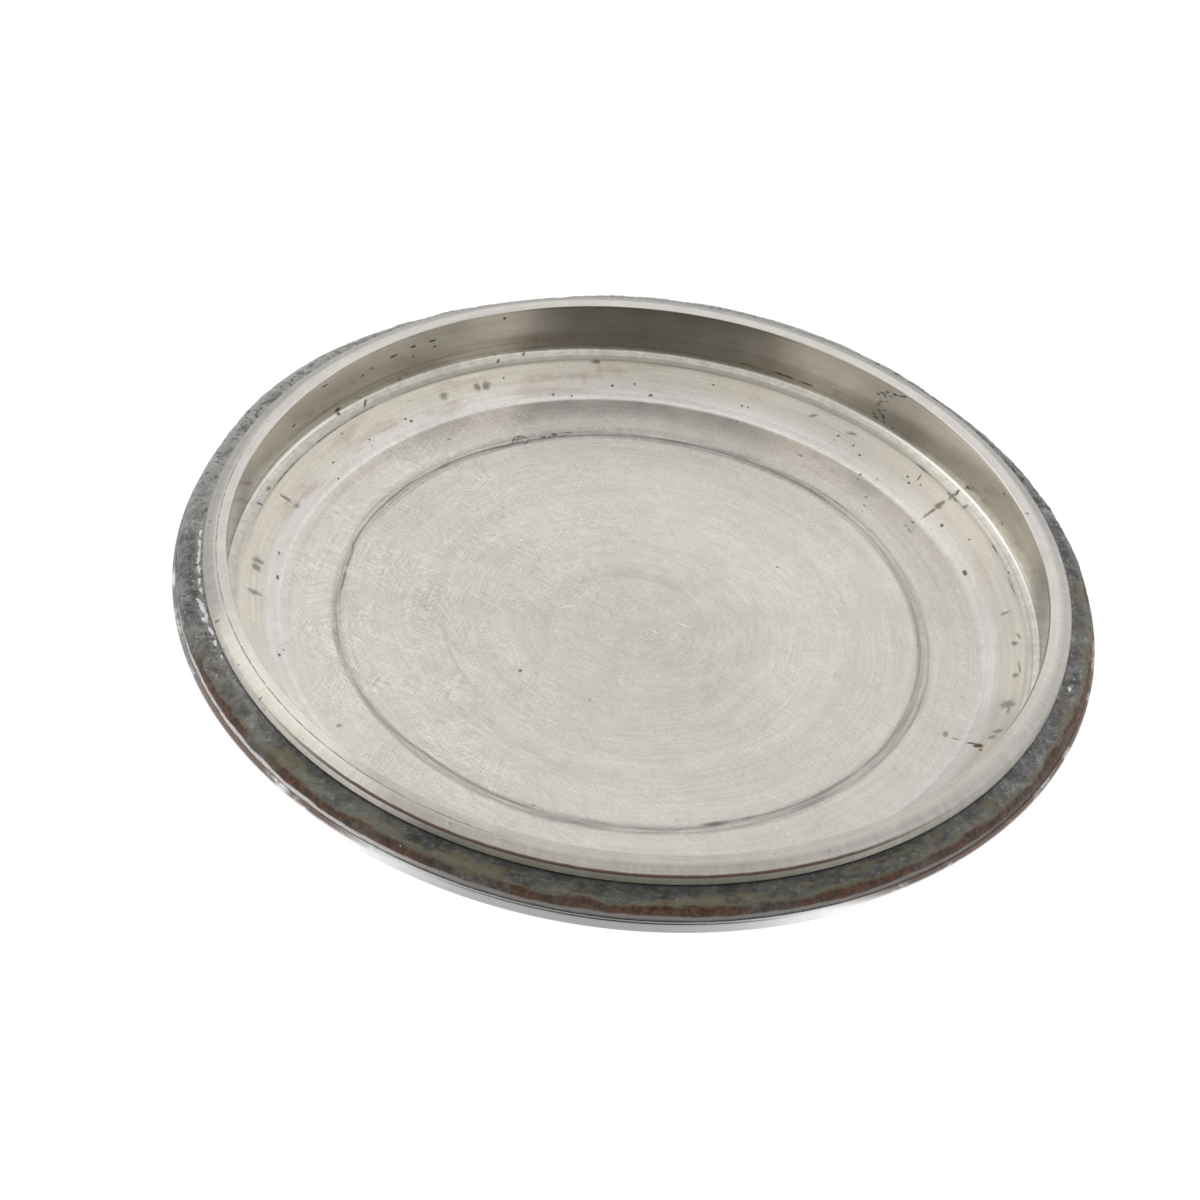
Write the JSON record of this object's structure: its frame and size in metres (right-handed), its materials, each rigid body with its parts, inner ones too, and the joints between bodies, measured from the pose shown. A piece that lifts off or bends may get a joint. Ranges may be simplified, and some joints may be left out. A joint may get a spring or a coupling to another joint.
{
  "type": "watch case back",
  "caption": "Round press-on wristwatch case back of turned steel, open cavity up, with an old ring gasket on its flange.",
  "frame": {"origin": "centre of the flat outer face, on which the case back lies", "axes": "+Z along the axis of the back, out of the cavity and into the watch case; the part is round, so +X and +Y are free"},
  "size_m": [0.034, 0.034, 0.0038],
  "materials": {
    "steel": "turned stainless steel, fine tool marks, worn satin",
    "gasket": "matt, aged and mottled, rust stain on the outer edge"
  },
  "bodies": {
    "root": {"case_back": "steel", "gasket": "gasket"}
  },
  "joints": []
}
